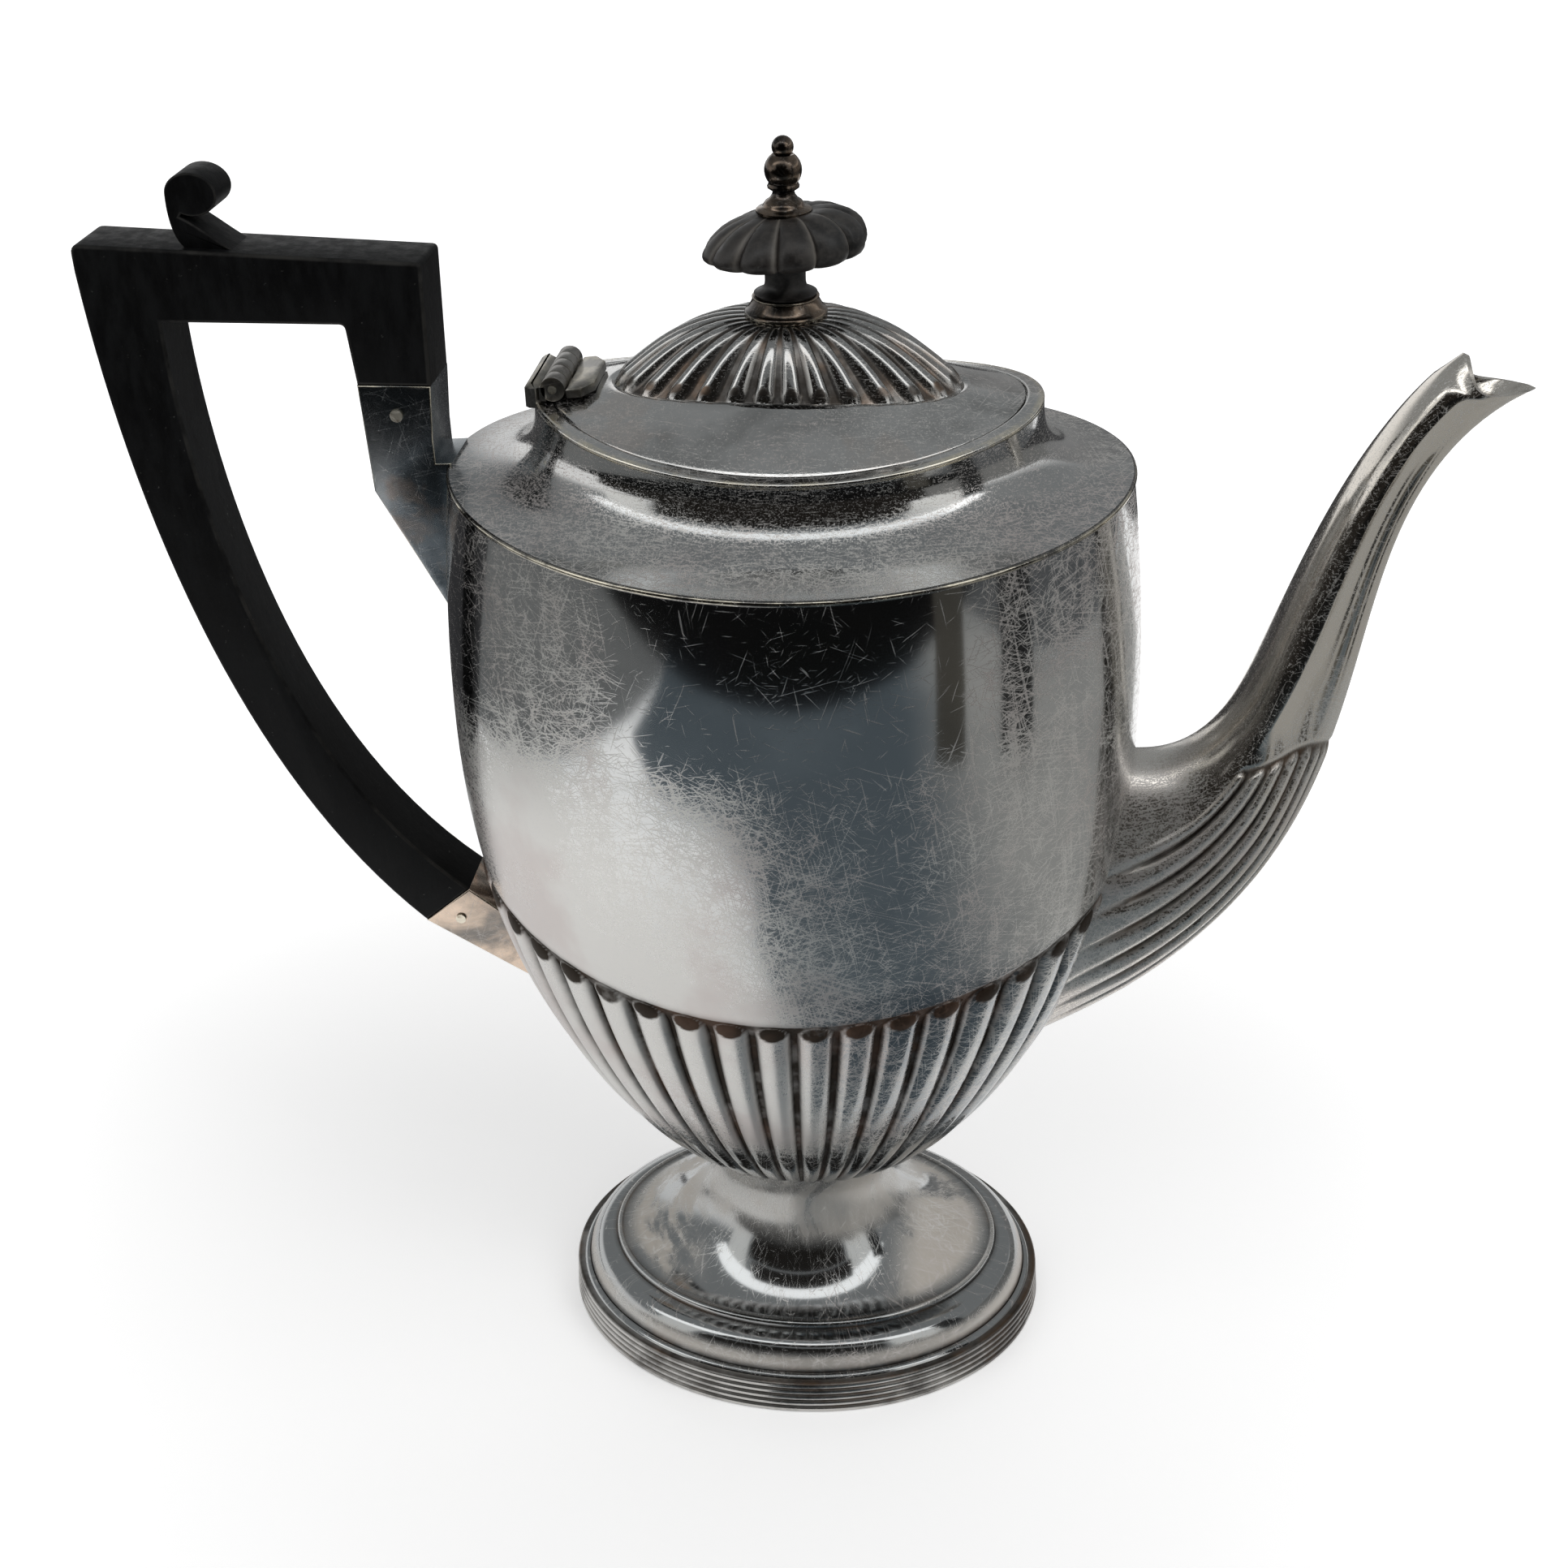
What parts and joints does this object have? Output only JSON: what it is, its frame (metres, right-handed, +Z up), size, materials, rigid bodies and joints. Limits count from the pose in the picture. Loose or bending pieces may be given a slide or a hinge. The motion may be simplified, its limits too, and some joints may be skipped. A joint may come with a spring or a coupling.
{
  "type": "coffee pot",
  "caption": "Oval silver-plated coffee pot: half-fluted body on a stepped foot, hinged domed lid with a wooden knob, swan-neck spout, angular wooden handle.",
  "frame": {"origin": "bottom centre of the foot, on the surface the pot stands on", "axes": "+Z up, +X from the handle towards the spout, +Y to the side away from a viewer who sees the handle at the left"},
  "size_m": [0.2567, 0.105, 0.2595],
  "materials": {
    "silver_plate": "polished silver plate, dulled and finely scratched",
    "worn_plate": "worn silver plate with the yellow metal showing at edges",
    "dark_plate": "blackened, tarnished plate",
    "black_wood": "ebonised hardwood, satin, worn grey in the grooves"
  },
  "bodies": {
    "pot": {"body_shell": "silver_plate", "shoulder_cover": "silver_plate", "rim_wire": "worn_plate", "collar_bezel": "silver_plate", "foot": "silver_plate", "foot_rim": "silver_plate", "spout": "silver_plate", "spout_strainer": "worn_plate", "upper_handle_socket": "silver_plate", "lower_handle_socket": "silver_plate", "handle_grip": "black_wood", "handle_scroll": "black_wood", "upper_handle_pin": "worn_plate", "lower_handle_pin": "worn_plate", "hinge_body_leaf": "silver_plate", "hinge_pin": "dark_plate"},
    "lid": {"lid_shell": "silver_plate", "lid_flange": "silver_plate", "hinge_lid_leaf": "silver_plate", "knob_base": "dark_plate", "knob_wood": "black_wood", "knob_finial": "dark_plate", "knob_washer": "worn_plate", "knob_nut": "worn_plate"}
  },
  "joints": [
    {"name": "lid_hinge", "type": "hinge", "parent": "pot", "child": "lid", "pos_m": [-0.0411, 0, 0.2169], "axis": [0, -1, 0], "range_deg": [0, 95]}
  ]
}
